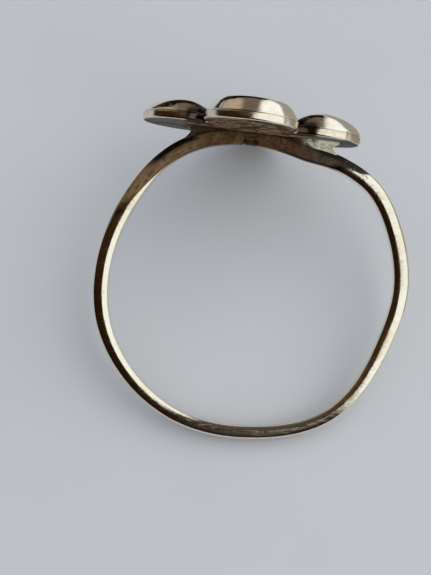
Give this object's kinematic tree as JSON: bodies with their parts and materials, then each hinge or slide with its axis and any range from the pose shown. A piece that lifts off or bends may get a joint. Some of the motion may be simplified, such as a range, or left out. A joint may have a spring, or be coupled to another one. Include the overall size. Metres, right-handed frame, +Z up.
{
  "type": "signet ring",
  "caption": "Polished silver finger ring with a head of domed round petals on a back plate, soldered to a thin wire band bent by hand; lying on its side.",
  "frame": {"origin": "centre of the bounding box's bottom face, on the table the ring lies on", "axes": "+Z up from the table, +Y from the base of the band towards the head, +X to the right seen from above; the finger axis leans back from +Z by the angle at which the head's rear rim and the band's rear edge both touch the table"},
  "size_m": [0.019, 0.0208, 0.0126],
  "materials": {
    "warm_silver": "polished silver with a warm tarnish",
    "dark_silver": "silver sheet with a polished edge and a dark rough underside",
    "pale_solder": "pale satin solder",
    "dull_solder": "dark dull solder"
  },
  "bodies": {
    "root": {"shank": "warm_silver", "back_plate": "dark_silver", "petal_left": "warm_silver", "petal_right": "warm_silver", "petal_front": "warm_silver", "petal_rear": "warm_silver", "solder_left": "dull_solder", "solder_right": "pale_solder", "solder_seam": "dull_solder"}
  },
  "joints": []
}
